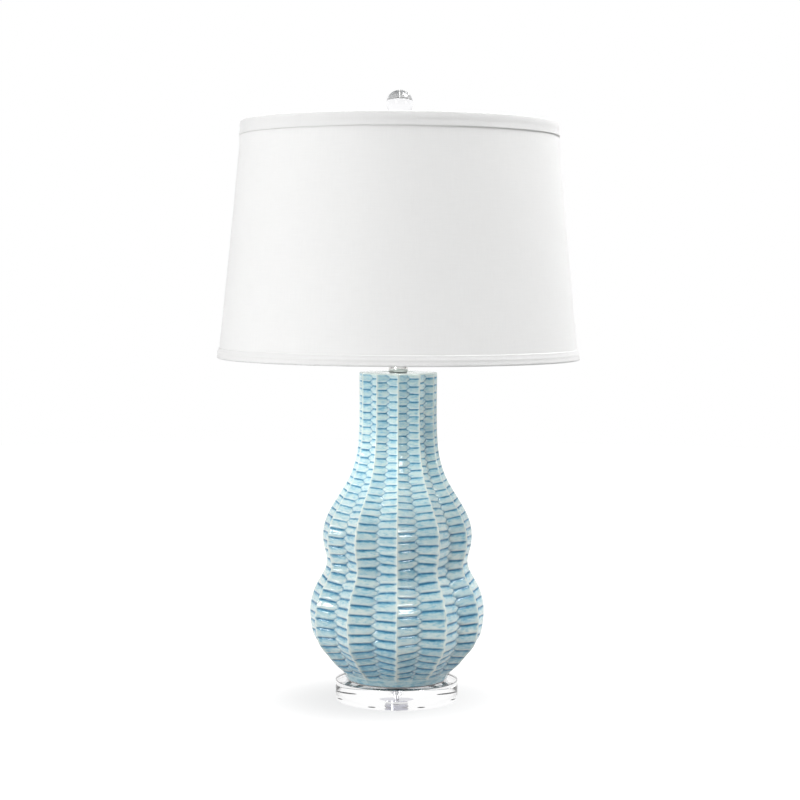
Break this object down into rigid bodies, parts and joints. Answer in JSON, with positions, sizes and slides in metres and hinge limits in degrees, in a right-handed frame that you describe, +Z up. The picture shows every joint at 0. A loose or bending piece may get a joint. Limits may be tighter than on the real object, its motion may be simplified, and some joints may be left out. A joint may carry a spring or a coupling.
{
  "type": "table lamp",
  "caption": "Table lamp with a ribbed double-gourd ceramic body on a clear round base, and a tapered drum shade under a clear ball finial.",
  "frame": {"origin": "on the table surface under the lamp's axis", "axes": "+Z up along the axis; the front faces -Y, with the switch key towards -Y and the cord hole towards +Y; +X is the viewer's right"},
  "size_m": [0.431, 0.431, 0.7275],
  "materials": {
    "glaze_blue": "gloss blue-green celadon glaze, pooled darker in the grooves",
    "clear_acrylic": "polished clear acrylic",
    "bumper_rubber": "dark soft rubber",
    "clear_gasket": "translucent plastic film",
    "zinc_steel": "zinc plated steel",
    "nickel": "polished nickel plate",
    "white_wire": "white powder coated wire",
    "white_plastic": "moulded white plastic",
    "brass": "plain brass",
    "fibre": "pale vulcanised fibre",
    "black_moulding": "black moulded phenolic",
    "black_glass": "black glass with a soldered tip",
    "aluminium": "thin threaded aluminium",
    "frosted_glass": "white frosted glass",
    "shade_linen": "off-white woven fabric laminated on styrene",
    "shade_tape": "off-white folded trim tape",
    "styrene": "white styrene backing",
    "crystal": "clear polished crystal"
  },
  "bodies": {
    "root": {"base_feet": "bumper_rubber", "acrylic_base": "clear_acrylic", "base_washer": "zinc_steel", "base_bolt": "zinc_steel", "base_coupling": "zinc_steel", "lamp_pipe": "zinc_steel", "base_gasket": "clear_gasket", "ceramic_body": "glaze_blue", "cord_grommet": "white_plastic", "top_gasket": "clear_gasket", "neck": "nickel", "harp_saddle": "nickel", "pipe_nut": "zinc_steel", "socket_cap": "nickel", "socket_set_screw": "brass", "socket_shell": "nickel", "socket_liner": "fibre", "socket_insulator": "black_moulding", "terminal_screws": "brass", "socket_screw_shell": "brass", "socket_contact": "brass"},
    "switch": {"switch_shaft": "brass", "switch_key": "black_moulding"},
    "bulb_foot": {"bulb_contact": "black_glass"},
    "bulb": {"bulb_cap": "aluminium", "bulb_globe": "frosted_glass"},
    "harp": {"harp_wire": "nickel"},
    "sleeve_left": {"harp_sleeve_left": "nickel"},
    "sleeve_right": {"harp_sleeve_right": "nickel"},
    "stud": {"harp_stud": "nickel"},
    "shade": {"shade_fabric": "shade_linen", "shade_liner": "styrene", "shade_top_tape": "shade_tape", "shade_bottom_tape": "shade_tape", "shade_top_ring": "white_wire", "shade_bottom_ring": "white_wire", "spider_hub": "nickel", "spider_arms": "white_wire"},
    "finial_foot": {"finial_base": "nickel"},
    "finial": {"finial_ball": "crystal"}
  },
  "joints": [
    {"name": "switch_turn", "type": "hinge", "parent": "root", "child": "switch", "pos_m": [0, 0, 0.4463], "axis": [0, -1, 0], "continuous": true},
    {"name": "bulb_rise", "type": "slide", "parent": "root", "child": "bulb_foot", "axis": [0, 0, 1], "range_m": [0, 0.02541]},
    {"name": "bulb_turn", "type": "hinge", "parent": "bulb_foot", "child": "bulb", "pos_m": [0, 0, 0.505], "axis": [0, 0, 1], "range_deg": [0, 2520]},
    {"name": "harp_lift", "type": "slide", "parent": "root", "child": "harp", "axis": [0, 0, 1], "range_m": [0, 0.03]},
    {"name": "sleeve_left_lift", "type": "slide", "parent": "harp", "child": "sleeve_left", "axis": [0, 0, 1], "range_m": [0, 0.02]},
    {"name": "sleeve_right_lift", "type": "slide", "parent": "harp", "child": "sleeve_right", "axis": [0, 0, 1], "range_m": [0, 0.02]},
    {"name": "shade_turn", "type": "hinge", "parent": "harp", "child": "stud", "pos_m": [0, 0, 0.675], "axis": [0, 0, 1], "continuous": true},
    {"name": "shade_lift", "type": "slide", "parent": "stud", "child": "shade", "axis": [0, 0, 1], "range_m": [0, 0.3]},
    {"name": "finial_rise", "type": "slide", "parent": "shade", "child": "finial_foot", "axis": [0, 0, 1], "range_m": [0, 0.00753]},
    {"name": "finial_turn", "type": "hinge", "parent": "finial_foot", "child": "finial", "pos_m": [0, 0, 0.711], "axis": [0, 0, 1], "range_deg": [0, 2880]}
  ],
  "couplings": [
    {"joint": "bulb_rise", "follows": "bulb_turn", "m_per_rad": 0.00057757},
    {"joint": "finial_rise", "follows": "finial_turn", "m_per_rad": 0.00014972}
  ]
}
